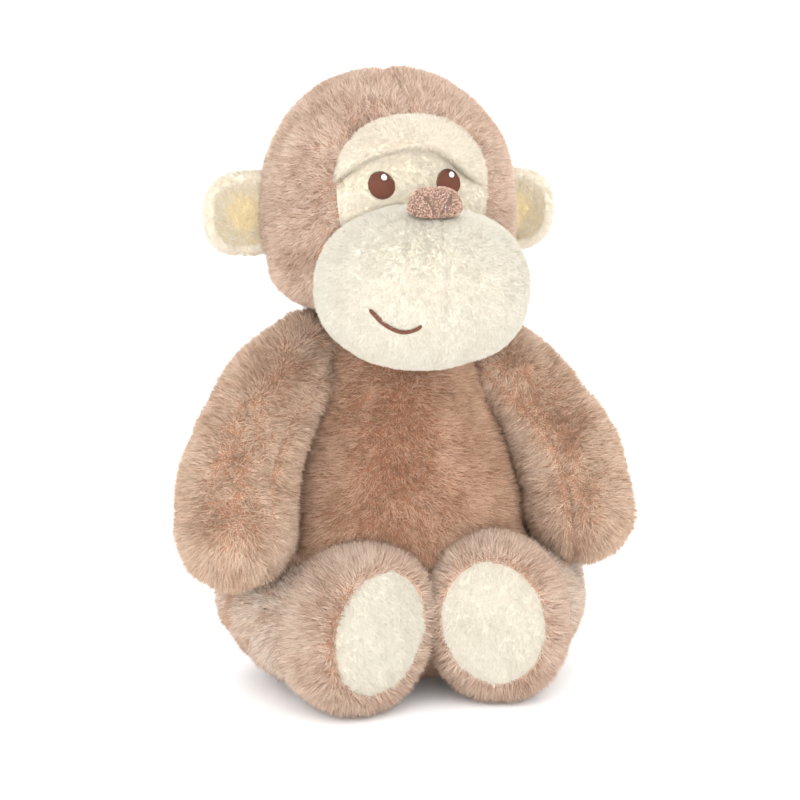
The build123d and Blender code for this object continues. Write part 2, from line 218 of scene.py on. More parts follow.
def curve_through(keys, count):
    """Smooth values through the keys (Catmull-Rom), count of them, evenly spread over the keys."""
    keys = np.asarray(keys, float)
    padded = np.vstack([2 * keys[0] - keys[1], keys, 2 * keys[-1] - keys[-2]])
    spots = np.linspace(0.0, len(keys) - 1.0, count)
    base = np.minimum(spots.astype(int), len(keys) - 2)
    t = (spots - base)[:, None]
    p0, p1, p2, p3 = (padded[base + step] for step in range(4))
    square = 2 * p0 - 5 * p1 + 4 * p2 - p3
    cube = 3 * p1 - p0 - 3 * p2 + p3
    return 0.5 * (2 * p1 + (p2 - p0) * t + square * t**2 + cube * t**3)


def press(points, balls, margin, rounds=3):
    """Push points out of a set of balls (centre, radius), so that one soft piece dents another."""
    centres, radii = map(np.array, zip(*balls))
    for _ in range(rounds):
        away = points[:, None, :] - centres[None]
        gap = np.linalg.norm(away, axis=2) - radii[None]
        nearest = gap.argmin(axis=1)
        rows = np.arange(len(points))
        short = np.maximum(margin - gap[rows, nearest], 0.0)
        points = points + unit(away[rows, nearest]) * short[:, None]
    return points


# ---- Limb lines ----

ARM_KEYS = [(36.0, 0.0, 136.5, 13.0), (44.5, -3.0, 127.8, 17.2), (59.3, -10.5, 111.0, 19.4),
            (69.5, -20.5, 90.5, 20.8), (73.2, -29.0, 69.5, 20.7)]
LEG_KEYS = [(53.2, -5.0, 35.5, 20.8), (49.2, -14.0, 32.8, 22.6), (44.0, -24.0, 30.2, 24.0),
            (40.0, -33.0, 29.2, 24.2)]
LEFT_ARM_CHANGE = (-1.8, 0.0, -2.0, -1.3)       # the toy's left arm is held closer and lower
LEFT_LEG_CHANGE = (2.4, 0.0, 1.5, 0.4)          # and its left leg a little further out


def limb_line(keys, side, count):
    """Centres and radii along a limb, on one side."""
    line = curve_through(keys, count)
    if side > 0.0:
        line += LEFT_ARM_CHANGE if keys is ARM_KEYS else LEFT_LEG_CHANGE
    line[:, 0] *= side
    return line[:, :3], line[:, 3]


def limb_balls(keys, side):
    """A limb as balls, for pressing its neighbours."""
    return list(zip(*limb_line(keys, side, 24)))


def limb_rings(keys, side, rows, count):
    """Rings round a limb, domed at both ends."""
    centres, radii = limb_line(keys, side, rows)
    heading = unit(np.gradient(centres, axis=0))

    def ring(spot, size, way):
        front = unit(way * way[1] - Y)
        return oval(spot, np.cross(way, front), front, size, size, count)

    def dome(end, sense, angles):
        for angle in np.radians(angles):
            spot = centres[end] + sense * heading[end] * radii[end] * math.sin(angle)
            yield ring(spot, radii[end] * math.cos(angle), heading[end])

    middle = [ring(*row) for row in zip(centres, radii, heading)]
    return [*dome(0, -1.0, np.linspace(86, 12, 9)), *middle, *dome(-1, 1.0, np.linspace(12, 86, 9))]


# ---- Cloth shapes ----

PILE_SINK = 2.4        # how far a long-pile cloth lies inside the CAD outline
FACE_HALF_WIDTH, FACE_HALF_HEIGHT = 30.3, 29.6
FACE_POWER = 2.3
FACE_Z = 202.0
BAY_DEPTH = 5.2        # how far the eye patch lies sunk in the head
BAY_Z, BAY_HALF_HEIGHT = 205.0, 19.0
UNDER_BROW = 3.4       # how much further the patch goes in under the brow
CHEEK_FULLNESS = 10.0
JAW_FULLNESS = 10.5    # more width low on the head, where it rests on the shoulders
HEAD_SHIFT = 0.8
HEAD_LUMPS = 0.012


def face_reach(points):
    """0 in the middle of the face opening, 1 on its edge, seen from the front."""
    across = np.abs(points[:, 0] - HEAD[0]) / FACE_HALF_WIDTH
    up = np.abs(points[:, 2] - FACE_Z) / FACE_HALF_HEIGHT
    return (across**FACE_POWER + up**FACE_POWER) ** (1.0 / FACE_POWER)


def face_sink(x, z):
    """How far the face lies sunk behind the head's ball, at x and z from the front."""
    across = (x - HEAD[0]) / FACE_HALF_WIDTH
    up = (z - BAY_Z) / BAY_HALF_HEIGHT
    return BAY_DEPTH * (1.0 - smooth_step(0.35, 1.05, np.sqrt(across**2 * 0.85 + up**2)))


def head_surface(x, z, radius):
    """Forward reach of the head's ball at x and z, as a y value."""
    inside = np.maximum(radius**2 - (x - HEAD[0])**2 - (z - HEAD[2])**2, 0.0)
    return HEAD[1] - np.sqrt(inside)


def head_cloth():
    """The head's cover: a ball, fuller at cheeks and jaw, hollowed for the face."""
    obj, ways = unit_ball("head_cloth", 6)
    scale = (HEAD_RADIUS - PILE_SINK) * (1.0 + HEAD_LUMPS * noise(ways * 3.0, 1.0, SEED))
    points = HEAD + ways * scale[:, None]
    low_half = np.clip(-ways[:, 2], 0.0, 1.0)
    jaw = JAW_FULLNESS * smooth_step(0.45, 0.85, low_half)
    points[:, 0] += ways[:, 0] * (CHEEK_FULLNESS * low_half + jaw)
    sunk = (BAY_DEPTH + 3.0) * (1.0 - smooth_step(0.62, 0.98, face_reach(points)))
    points[:, 1] += np.where(ways[:, 1] < 0.0, sunk, 0.0)
    points[:, 0] += HEAD_SHIFT
    set_points(obj, points)
    return obj


TORSO_KEYS = [
    # height, half width, half depth, middle y
    (0.8, 40.0, 24.0, 9.0), (2.0, 46.0, 29.0, 8.0), (8.0, 51.0, 36.0, 5.0), (22.0, 54.5, 42.0, 1.5),
    (42.0, 55.2, 44.0, -1.0), (62.0, 53.5, 43.5, -1.5), (82.0, 49.0, 41.0, -1.0), (100.0, 43.5, 37.0, 0.0),
    (117.0, 37.0, 32.0, 0.5), (131.0, 31.5, 27.5, 0.5), (142.0, 27.0, 23.0, 0.5), (150.0, 22.0, 19.0, 1.0),
]
SEAT_HEIGHT = 0.8
LEG_DENT, ARM_DENT = 0.6, -1.5       # room kept round a leg, and how far an arm may sink in


def torso_cloth():
    """The torso's cover: a pear, dented where the arms and legs lie against it."""
    rings = [oval((0.0, middle, height), X, Y, half_width, half_depth, 120)
             for height, half_width, half_depth, middle in curve_through(TORSO_KEYS, 74)]
    points, faces = ring_loft(rings)
    for side in SIDES.values():
        points = press(points, limb_balls(LEG_KEYS, side), LEG_DENT)
        points = press(points, limb_balls(ARM_KEYS, side), ARM_DENT)
    points[:, 2] = np.maximum(points[:, 2], SEAT_HEIGHT)
    return skin("torso_cloth", points, faces)


MUZZLE_KEYS = [
    # how far forward, half width, half height, middle height
    (30.0, 37.0, 27.6, 167.0), (38.0, 40.4, 30.4, 167.2), (47.0, 41.8, 31.5, 167.4),
    (57.0, 40.9, 30.9, 167.4), (66.0, 37.5, 28.2, 167.2), (73.0, 31.6, 23.6, 167.0),
    (78.4, 23.8, 17.6, 166.8), (81.6, 14.6, 10.7, 166.7), (82.8, 6.0, 4.4, 166.7),
]
MUZZLE_TILT = 2.5
MUZZLE_HALF_WIDTH, MUZZLE_HALF_HEIGHT = 42.0, 32.0      # its outline, seen from the front
SEAM_DEPTH = 0.6


def muzzle_cloth():
    """The muzzle's cover: a wide soft bun with a middle seam."""
    rings = [oval((0.0, -forward, middle), X, Z, half_width - 0.6, half_height - 0.6, 128, 2.25)
             for forward, half_width, half_height, middle in curve_through(MUZZLE_KEYS, 46)]
    points, faces = ring_loft(rings)
    points[:, 1] += SEAM_DEPTH * ridge(points[:, 0], 1.6) * smooth_step(60.0, 72.0, -points[:, 1])
    tilt = math.radians(MUZZLE_TILT)
    x, z = points[:, 0].copy(), points[:, 2] - MUZZLE_Z
    points[:, 0] = HEAD[0] + x * math.cos(tilt) + z * math.sin(tilt)
    points[:, 2] = MUZZLE_Z + z * math.cos(tilt) - x * math.sin(tilt)
    return skin("muzzle_cloth", points, faces)


def face_patch_cloth():
    """The eye patch: sunk under the brow, rising to meet the brown head at its sides."""
    rings = []
    for reach in np.linspace(0.02, 1.0, 30):
        across, high = superellipse(FACE_HALF_WIDTH * reach, FACE_HALF_HEIGHT * reach, 96, FACE_POWER)
        x, z = HEAD[0] + across, FACE_Z + high
        y = head_surface(x, z, HEAD_RADIUS - 1.5) + face_sink(x, z)
        y += UNDER_BROW * smooth_step(FACE_Z + 7.0, FACE_Z + 17.0, z + 0.25 * np.abs(across))
        rings.append(np.stack([x, y, z], axis=1))
    return skin("face_patch_cloth", *ring_loft(rings, cap_end=False), -Y)


BROW_TOP = FACE_Z + FACE_HALF_HEIGHT
BROW_RISE = 3.3
BROW_END_SINK = 2.0      # how far its two ends are sewn into the head
BROW_TURN = (math.radians(172.0), math.radians(1.0))
BROW_CREASE = [
    # along from the head's middle, and how high the brow's lower edge is
    (-30.1, 207.0), (-26.7, 211.2), (-17.4, 217.0), (-4.7, 220.2), (5.4, 220.2), (13.3, 217.0), (22.6, 208.9),
    (30.2, 203.0),
]


def on_head(across, high, depth):
    """A point on the front of the head's ball, depth inside its outline."""
    forward = head_surface(HEAD[0] + across, high, HEAD_RADIUS - depth)
    return np.array([HEAD[0] + across, forward, high])


def brow_cloth(fullness=1.0, reach=1.0):
    """The brow: a padded crescent that overhangs the eyes, and thins out to a point at both sides."""
    crease = curve_through(BROW_CREASE, 200)
    along = np.linspace(0.0, 1.0, len(crease))
    around = np.linspace(0.0, 2.0 * math.pi, 28, endpoint=False)
    rings = []
    for share in np.linspace(0.5 - reach / 2.0, 0.5 + reach / 2.0, 80):
        turn = BROW_TURN[0] + (BROW_TURN[1] - BROW_TURN[0]) * share
        across = FACE_HALF_WIDTH * signed_power(math.cos(turn), 2.0 / FACE_POWER)
        high = FACE_Z + FACE_HALF_HEIGHT * signed_power(math.sin(turn), 2.0 / FACE_POWER)
        lower = [np.interp(share, along, crease[:, axis]) for axis in range(2)]
        depth = 2.0 + BROW_END_SINK * abs(2.0 * share - 1.0) ** 10
        outer, inner = on_head(across, high, depth), on_head(*lower, depth + 0.8)
        half = np.linalg.norm(outer - inner) / 2.0 * fullness
        rise = (0.3 + BROW_RISE * min(half / 6.5, 1.0) ** 0.8) * fullness
        middle = (outer + inner) / 2.0
        normal = unit(middle - HEAD)
        up = unit(outer - inner - normal * np.dot(outer - inner, normal) + 1e-4 * Z)
        spread = np.outer(np.cos(around) * (half + 0.4), up)
        rings.append(middle + spread + np.outer(np.sin(around) * rise, normal))
    return skin("brow_cloth", *ring_loft(rings))


EAR_MIDDLE = 58.3        # from the head's middle
EAR_HEIGHT = 189.0
EAR_TILT = 1.3           # the head is held a little to one side
EAR_HALF_WIDTH, EAR_HALF_HEIGHT = 15.2, 16.4
CUP_DEPTH, CUP_SIZE = 3.2, 0.78
CUP_EDGE, RIM_WIDTH, RIM_HEIGHT = 0.84, 0.16, 2.3


def ear_cloths(name, side):
    """An ear as two sheets: the shell, which is its back and rolled rim, and the lining of its cup."""
    low, high = cad_box(f"{name}_ear_back")
    root = np.array([HEAD[0] + side * EAR_MIDDLE, (low[1] + high[1]) / 2, EAR_HEIGHT - side * EAR_TILT])
    # Each profile row: share of the ear's size, depth, and how far in towards the cup's middle.
    shell = [(share, 4.4 - 2.2 * share**2, 0.0) for share in np.linspace(0.02, 0.92, 18)]
    shell += [(CUP_EDGE + RIM_WIDTH * math.cos(roll), RIM_HEIGHT * math.sin(roll) - 0.2, 0.0)
              for roll in np.radians(np.linspace(55, -116, 14))]
    cup = [(share, CUP_DEPTH * (1.0 - (share / CUP_SIZE) ** 2) - 2.2, 1.0 - share / CUP_SIZE)
           for share in np.linspace(CUP_SIZE, 0.02, 20)]
    cloths = []
    for label, profile in (("shell", shell), ("lining", cup)):
        rings = []
        for reach, depth, inner in profile:
            u, v = superellipse(EAR_HALF_WIDTH * reach, EAR_HALF_HEIGHT * reach, 80, 2.5)
            u = np.where(u * side < 0.0, u * 1.25, u)
            shift = np.array([-side * 1.2 * inner, 0.0, 1.2 * inner])
            ring = np.stack([u, depth - 0.10 * side * u, v * (1.0 - 0.004 * side * u)], axis=1)
            rings.append(root + shift + ring)
        points, faces = ring_loft(rings, cap_start=label == "shell", cap_end=label == "lining")
        points[:, 1] += 0.5 * noise(points, 9.0, SEED + 51)
        cloths.append(skin(f"{name}_ear_{label}_cloth", points, faces, -Y if label == "lining" else None))
    return cloths


def arm_cloth(side):
    """An arm's cover."""
    points, faces = ring_loft(limb_rings(ARM_KEYS, side, 44, 72))
    points += unit(points - points.mean(axis=0)) * noise(points, 26.0, SEED + 3)[:, None] * 0.5
    return skin("arm_cloth", points, faces)


def leg_cloth(side):
    """A leg's cover, flattened where it rests on the floor."""
    points, faces = ring_loft(limb_rings(LEG_KEYS, side, 30, 76))
    points[:, 2] = np.maximum(points[:, 2], 1.2)
    return skin("leg_cloth", points, faces)


SOLE_TOE_IN = 20.0
SOLE_LEAN = 6.0
SOLE_ROLL = {"left": 13.0, "right": 31.0}    # the toy's right foot lies further over
SOLE_SHIFT = {"left": -2.4, "right": 0.4}
SOLE_HALF = np.array([21.2, 25.8])
RIM_HALF, TUB_HALF = (22.0, 26.8), (21.0, 25.6)     # a foot is held along one and cut out in the other
SOLE_POWER = 2.1
FOOT_KEYS = [
    # how far behind the sole, half width, half height
    (-0.6, 20.0, 24.6), (0.4, 22.6, 27.6), (3.6, 24.6, 30.0), (10.0, 25.8, 31.2), (18.0, 26.0, 31.2),
    (26.0, 25.0, 29.6), (33.0, 22.6, 26.4), (38.0, 18.0, 21.0), (41.0, 10.0, 12.0),
]


def sole_frame(name, side):
    """Centre of a sole, and its across, up and outward directions."""
    toe_in, lean = math.radians(SOLE_TOE_IN), math.radians(SOLE_LEAN)
    flat = math.cos(lean)
    out = np.array([-side * math.sin(toe_in) * flat, -math.cos(toe_in) * flat, math.sin(lean)])
    across = unit(np.cross(Z, out))
    up = np.cross(out, across)
    centre = sum(cad_box(f"{name}_sole_pad")) / 2 + across * SOLE_SHIFT[name]
    roll = math.radians(side * SOLE_ROLL[name])
    cosine, sine = math.cos(roll), math.sin(roll)
    return centre, across * cosine + up * sine, up * cosine - across * sine, out


def foot_cloth(centre, across, up, out):
    """A foot's cover: a deep soft tub with the sole let into its front."""
    rings = [oval(centre - out * depth, across, up, half_width, half_height, 84, SOLE_POWER)
             for depth, half_width, half_height in curve_through(FOOT_KEYS, 46)]
    points, faces = ring_loft(rings)
    points[:, 2] = np.maximum(points[:, 2], 1.0)
    return skin("foot_cloth", points, faces)


def sole_cloth(centre, across, up, out):
    """A sole: a padded oval, set a little into the foot."""
    rings = []
    for share in np.linspace(0.03, 1.0, 24):
        bulge = 2.0 * (1.0 - share**2.6) - 0.9
        half_width, half_height = SOLE_HALF * share
        rings.append(oval(centre + out * bulge, across, up, half_width, half_height, 84, SOLE_POWER))
    return skin("sole_cloth", *ring_loft(rings, cap_end=False), out)


NOSE_MIDDLE = np.array([HEAD[0] + 0.8, 0.0, 202.4])
NOSE_HALF = np.array([9.4, 6.2, 5.1])
NOSE_POWER = 0.64
TUCK_LOW, TUCK_HIGH = (1.8, -2.9), (4.9, 2.4)
TUCK_DEPTH, TUCK_WIDTH = 2.4, 1.2


def tuck_gap(points):
    """Distance from the nearer nostril tuck, for points measured from the nose's middle."""
    across = np.stack([np.abs(points[:, 0]), points[:, 2]], axis=1)
    line = np.subtract(TUCK_HIGH, TUCK_LOW)
    share = np.clip(((across - TUCK_LOW) @ line) / (line @ line), 0.0, 1.0)
    return np.linalg.norm(across - TUCK_LOW - share[:, None] * line, axis=1)


def nose_cloth():
    """The nose: a small pad, narrower at its top, with two tucked nostrils."""
    low, high = cad_box("nose_cover")
    obj, ways = unit_ball("nose_cloth", 5)
    ways = signed_power(ways, NOSE_POWER)
    points = ways * NOSE_HALF
    points[:, 0] *= 1.0 - 0.17 * np.clip(ways[:, 2], -0.5, 1.0)
    tuck = TUCK_DEPTH * ridge(tuck_gap(points), TUCK_WIDTH)
    points[:, 1] += np.where(ways[:, 1] < 0.0, tuck, 0.0)
    set_points(obj, points + NOSE_MIDDLE + Y * ((low[1] + high[1]) / 2 - 0.7))
    return obj


# ---- Stitching ----

class Surface:
    """A mesh seen from the front, to lay stitches on."""

    def __init__(self, obj):
        faces = [tuple(face.vertices) for face in obj.data.polygons]
        self.tree = bvhtree.BVHTree.FromPolygons(mesh_points(obj).tolist(), faces)

    def at(self, x, z):
        """The nearest surface point in front at x and z, and its outward direction."""
        spot, normal, _, _ = self.tree.ray_cast(Vector((x, -200.0, z)), Vector(Y))
        if spot is None:
            spot, normal, _, _ = self.tree.find_nearest(Vector((x, -60.0, z)))
        normal = np.array(normal)
        return np.array(spot), normal if normal[1] < 0 else -normal


def thread_tube(spots, radius, sides):
    """Points and faces of one thread through spots, thinner at its ends."""
    spots = np.asarray(spots, float)
    heading = unit(np.gradient(spots, axis=0))
    turn = np.linspace(0.0, 2.0 * math.pi, sides, endpoint=False)
    rings = []
    for index, (spot, way) in enumerate(zip(spots, heading)):
        first = unit(np.cross(way, [0.0, -1.0, 0.05]))
        second = np.cross(way, first)
        size = radius * (0.55 if index in (0, len(spots) - 1) else 1.0)
        rings.append(spot + size * (np.outer(np.cos(turn), first) + np.outer(np.sin(turn), second)))
    return ring_loft(rings)


def threads_object(name, paths, radius, sides=6):
    """One mesh of many threads."""
    points, faces, start = [], [], 0
    for path in paths:
        some, shape = thread_tube(path, radius, sides)
        points.append(some)
        faces += [tuple(start + corner for corner in face) for face in shape]
        start += len(some)
    return make_object(name, np.concatenate(points), faces)


def stitched_round(name, surface, centre, half_width, half_height, lift, step=0.42, radius=0.3):
    """A satin-stitched oval: upright threads side by side, bowed over its middle."""
    paths = []
    for x in np.arange(-half_width + step / 2, half_width, step):
        reach = half_height * math.sqrt(max(1.0 - (x / half_width) ** 2, 0.0))
        path = []
        for share in np.linspace(-1.0, 1.0, 9):
            spot, normal = surface.at(centre[0] + x, centre[1] + share * reach)
            dome = 1.0 - (x / half_width) ** 2 * 0.6 - share**2 * 0.4
            path.append(spot + normal * (lift + 0.7 * dome))
        paths.append(path)
    return threads_object(name, paths, radius)


def stitched_line(name, surface, keys, half_width, lift):
    """A satin-stitched line: short threads laid aslant across it."""
    line = curve_through(keys, 200)
    lengths = np.concatenate([[0.0], np.cumsum(np.linalg.norm(np.diff(line, axis=0), axis=1))])

    def spot_at(reach):
        return np.array([np.interp(reach, lengths, line[:, axis]) for axis in range(2)])

    paths = []
    for reach in np.arange(0.0, lengths[-1], 0.4):
        way = unit(spot_at(reach + 0.2) - spot_at(reach - 0.2))
        cross = np.array([-way[1], way[0]]) + 0.35 * way
        fade = min(1.0, 0.45 + min(reach, lengths[-1] - reach) / 2.0)
        path = []
        for share in np.linspace(-1.0, 1.0, 5):
            spot, normal = surface.at(*(spot_at(reach) + cross * share * half_width * fade))
            path.append(spot + normal * (lift + 0.35 * (1.0 - share**2)))
        paths.append(path)
    return threads_object(name, paths, 0.28)


# ---- Materials ----

def linear(colour):
    """An sRGB colour of 0-255 values as linear light."""
    share = np.asarray(colour, float) / 255.0
    return np.where(share <= 0.04045, share / 12.92, ((share + 0.055) / 1.055) ** 2.4)


def fibre_material(name, colour, sheen=0.25):
    """A constant-coloured fibre, for strands, which carry their variation in their shades."""
    tint = (*np.clip(colour, 0.0, 1.0), 1.0)
    return plain_material(name, {
        "Base Color": tint, "Roughness": 0.85, "Specular IOR Level": 0.15,
        "Sheen Weight": sheen, "Sheen Tint": tint, "Sheen Roughness": 0.5,
    })


def plain_material(name, settings):
    """A material with some of its shader's constants set."""
    material = bpy.data.materials.new(name)
    material.use_nodes = True
    for socket, value in settings.items():
        material.node_tree.nodes["Principled BSDF"].inputs[socket].default_value = value
    return material


def cloth_material(name, colour, grain=0.5, contrast=0.10, bump=0.25):
    """Knitted or woven backing: fine grain in colour and relief, with slow drifts of tone."""
    material = plain_material(name, {"Roughness": 0.9, "Specular IOR Level": 0.15, "Sheen Weight": 0.2})
    nodes, links = material.node_tree.nodes, material.node_tree.links
    shader = nodes["Principled BSDF"]
    place = nodes.new("ShaderNodeTexCoord")
    fine, slow = nodes.new("ShaderNodeTexNoise"), nodes.new("ShaderNodeTexNoise")
    fine.inputs["Scale"].default_value = 1.0 / (grain * MM)
    fine.inputs["Detail"].default_value = 3.0
    slow.inputs["Scale"].default_value = 90.0
    mix = nodes.new("ShaderNodeMath")
    mix.operation = "MULTIPLY_ADD"
    mix.inputs[1].default_value = 0.6
    ramp = nodes.new("ShaderNodeValToRGB")
    for element, position, factor in zip(ramp.color_ramp.elements, (0.35, 0.75), (-1.0, 1.0)):
        element.position = position
        element.color = (*np.clip(colour * (1.0 + factor * contrast), 0, 1), 1.0)
    relief = nodes.new("ShaderNodeBump")
    relief.inputs["Strength"].default_value = bump
    relief.inputs["Distance"].default_value = 0.3 * MM
    for start, end in (
        (place.outputs["Object"], fine.inputs["Vector"]),
        (place.outputs["Object"], slow.inputs["Vector"]),
        (fine.outputs["Fac"], mix.inputs[0]),
        (slow.outputs["Fac"], mix.inputs[2]),
        (mix.outputs["Value"], ramp.inputs["Fac"]),
        (ramp.outputs["Color"], shader.inputs["Base Color"]),
        (fine.outputs["Fac"], relief.inputs["Height"]),
        (relief.outputs["Normal"], shader.inputs["Normal"]),
    ):
        links.new(start, end)
    return material


DARK_IS_REDDER = np.array([0.85, 1.15, 1.35])


def shades(name, colour, factors, sheen=0.25):
    """Fibre materials from one colour, from its darkest shade to its lightest."""
    return [fibre_material(f"{name}_fibre_{i}", colour * factor**DARK_IS_REDDER, sheen)
            for i, factor in enumerate(factors)]


# ---- Pile ----

MOST_STRANDS = 66000          # in one mesh
BIG_TUFT, SMALL_TUFT = 8.0, 1.5
LEAN_LIMITS = (2.0, 75.0)
MIDDLE_TONE, TONE_SPREAD = 2.6, 1.15
FACE_TONES = np.array([-1.4, 0.5, 0.5])     # a strand's first face is darker


def sample_cloth(cloth, density, rng):
    """Random roots spread evenly over a cloth, and its outward direction at each."""
    cloth.data.calc_loop_triangles()
    corners = read(cloth.data.loop_triangles, "vertices", np.int32)
    points, normals = mesh_points(cloth), mesh_normals(cloth)
    a, b, c = (points[corners[:, k]] for k in range(3))
    area = np.linalg.norm(np.cross(b - a, c - a), axis=1) / 2.0
    count = int(area.sum() * density)
    which = rng.choice(len(area), count, p=area / area.sum())
    u, v = rng.random(count), rng.random(count)
    over = u + v > 1.0
    u, v = np.where(over, 1.0 - u, u), np.where(over, 1.0 - v, v)
    weights = np.stack([1.0 - u - v, u, v], axis=1)[:, :, None]
    roots = (points[corners[which]] * weights).sum(axis=1)
    return roots, unit((normals[corners[which]] * weights).sum(axis=1))


def strand_mesh(name, rows, normals, shade, materials):
    """A mesh of strands: each a slender three-sided point, shaded like the cloth it stands on."""
    count = len(rows)
    base = np.arange(count, dtype=np.int32)[:, None]
    strands = bpy.data.meshes.new(name)
    strands.vertices.add(count * 4)
    strands.vertices.foreach_set("co", (rows * MM).astype(np.float32).ravel())
    strands.loops.add(count * 9)
    corners = np.array([0, 1, 3, 1, 2, 3, 2, 0, 3], np.int32)
    strands.loops.foreach_set("vertex_index", (base * 4 + corners).ravel())
    strands.polygons.add(count * 3)
    strands.polygons.foreach_set("loop_start", (base * 9 + np.array([0, 3, 6], np.int32)).ravel())
    for material in materials:
        strands.materials.append(material)
    strands.polygons.foreach_set("material_index", shade.ravel())
    strands.update(calc_edges=True)
    strands.shade_smooth()
    strands.normals_split_custom_set_from_vertices(np.repeat(normals, 4, axis=0).tolist())
    return in_scene(name, strands)


def pile(name, cloth, body, fur, flow, keep, parting, seed):
    """Strands standing on a cloth, in as many meshes as it takes.

    flow gives the lie of the pile at its roots; keep gives the share of strands to keep there, and
    parting the share of their length. Tufts come from noise that neighbouring strands share.
    """
    rng = np.random.default_rng(SEED * 1000 + seed)
    roots, up = sample_cloth(cloth, fur.density, rng)
    if keep is not None:
        kept = rng.random(len(roots)) < keep(roots)
        roots, up = roots[kept], up[kept]
    count = len(roots)
    lie = along_cloth(flow(roots, up), up)
    tufts = 0.6 * noise_vectors(roots, BIG_TUFT, seed) + 1.1 * noise_vectors(roots, SMALL_TUFT, seed + 5)
    lie = along_cloth(lie + fur.tousle * (tufts + 0.5 * rng.normal(size=(count, 3))), up)
    uneven = 1.0 + 0.12 * noise(roots, 6.0, seed + 9) + fur.nub * noise(roots, 1.4, seed + 10)
    reach = fur.length * rng.uniform(0.72, 1.12, count) * uneven
    if parting is not None:
        reach = reach * parting(roots)
    lean = fur.lean + 2.2 * fur.length * noise(roots, 1.6, seed + 11) + rng.normal(0.0, 7.0, count)
    lean = np.radians(np.clip(lean, *LEAN_LIMITS))[:, None]
    way = up * np.cos(lean) + lie * np.sin(lean)
    first = unit(np.cross(way, rng.normal(size=(count, 3))))
    second = np.cross(way, first)
    half = (fur.width * rng.uniform(0.75, 1.2, count) / 2.0)[:, None]
    rows = [roots + half * (math.cos(turn) * first + math.sin(turn) * second)
            for turn in (0.0, 2.0 * math.pi / 3.0, 4.0 * math.pi / 3.0)]
    rows = np.stack(rows + [roots + way * reach[:, None]], axis=1)
    rows[:, :, 2] = np.maximum(rows[:, :, 2], 0.05)
    normals = unit(up + 0.35 * way + (0.12 + 0.06 * fur.length) * rng.normal(size=(count, 3)))
    tone = MIDDLE_TONE + 1.9 * noise(roots, 11.0, seed + 21) + 1.8 * noise(roots, 1.6, seed + 22)
    tone = tone[:, None] + rng.normal(0.0, TONE_SPREAD, (count, 1)) + FACE_TONES
    shade = np.clip(np.round(tone), 0, len(fur.strands) - 1).astype(np.int32)
    chunks = np.array_split(np.argsort(roots[:, 2]), max(1, math.ceil(count / MOST_STRANDS)))
    for number, chunk in enumerate(chunks, 1):
        obj = strand_mesh(f"{name}_{number}", rows[chunk], normals[chunk], shade[chunk], fur.strands)
        finish(obj, body, fur.slot)


def along_cloth(ways, up):
    """Directions laid flat on the cloth whose outward direction is up."""
    return unit(ways - up * (ways * up).sum(axis=1, keepdims=True))


# ---- Sewing ----

def applied(obj):
    """Replace an object's mesh by what its modifiers make of it, and drop them."""
    view = bpy.context.evaluated_depsgraph_get()
    mesh = bpy.data.meshes.new_from_object(obj.evaluated_get(view))
    obj.modifiers.clear()
    obj.data = mesh
    return obj


def linked_copy(obj, name):
    """A copy of an object with a mesh of its own."""
    return in_scene(name, obj.data.copy())


def remeshed(obj, voxel):
    """An object rebuilt from voxels of that many millimetres."""
    modifier = obj.modifiers.new("remesh", "REMESH")
    modifier.mode = "VOXEL"
    modifier.voxel_size = voxel * MM
    return applied(obj)


CAGE_VOXEL = 5.0
CLOTH_PRESSURE = 4.0
CLOTH_FRAMES = 20
CLOTH_THICKNESS = 1.0


def puff(cloth, seams, cap=2.4):
    """Swell a cover under its filling by cloth simulation, held where seams says it is sewn.

    The simulation runs on a coarse closed copy. Its moves carry over to the cover, less the growth
    that they share, so a cover keeps its size and only its seams and its full places part.
    """
    scene = bpy.context.scene
    cage = remeshed(linked_copy(cloth, "cage"), CAGE_VOXEL)
    start = mesh_points(cage)
    held = cage.vertex_groups.new(name="held")
    share = seams(start)
    for index in np.nonzero(share > 0.05)[0]:
        held.add([int(index)], float(share[index]), "REPLACE")
    settings = cage.modifiers.new("cloth", "CLOTH").settings
    settings.vertex_group_mass = "held"
    settings.use_pressure = True
    settings.uniform_pressure_force = CLOTH_PRESSURE
    settings.shrink_min = -0.03
    settings.effector_weights.gravity = 0.0
    for frame_number in range(1, CLOTH_FRAMES + 1):
        scene.frame_set(frame_number)
    swollen = cage.evaluated_get(bpy.context.evaluated_depsgraph_get()).to_mesh()
    move = read(swollen.vertices, "co") / MM - start
    outward = mesh_normals(cage)
    move -= outward * np.median((move * outward).sum(axis=1))
    size = np.linalg.norm(move, axis=1, keepdims=True)
    move *= np.minimum(1.0, cap / np.maximum(size, 1e-6))
    tree = kdtree.KDTree(len(start))
    for index, point in enumerate(start):
        tree.insert(Vector(point), index)
    tree.balance()
    points = mesh_points(cloth)
    for index, point in enumerate(points.copy()):
        near = tree.find_n(Vector(point), 6)
        weight = np.array([1.0 / (gap + 1.0) ** 2 for _, _, gap in near])
        points[index] += weight @ move[[which for _, which, _ in near]] / weight.sum()
    set_points(cloth, points)
    scene.frame_set(1)
    bpy.data.objects.remove(cage)


def groove(cloth, seams, depth):
    """Draw a cover in along its seams."""
    points = mesh_points(cloth)
    set_points(cloth, points - mesh_normals(cloth) * (depth * seams(points))[:, None])


def cut_panel(name, cloth, chosen, thickness):
    """The chosen faces of a cover as a panel of its own, with the cloth's thickness."""
    faces = [list(face.vertices) for face, wanted in zip(cloth.data.polygons, chosen) if wanted]
    used = np.unique(np.concatenate(faces))
    number = {int(old): new for new, old in enumerate(used)}
    panel = make_object(name, mesh_points(cloth)[used], [[number[spot] for spot in face] for face in faces])
    solid = panel.modifiers.new("thickness", "SOLIDIFY")
    solid.thickness = thickness * MM
    solid.offset = -1.0
    return panel


Fur = namedtuple("Fur", "slot backing strands density length width lean tousle nub")


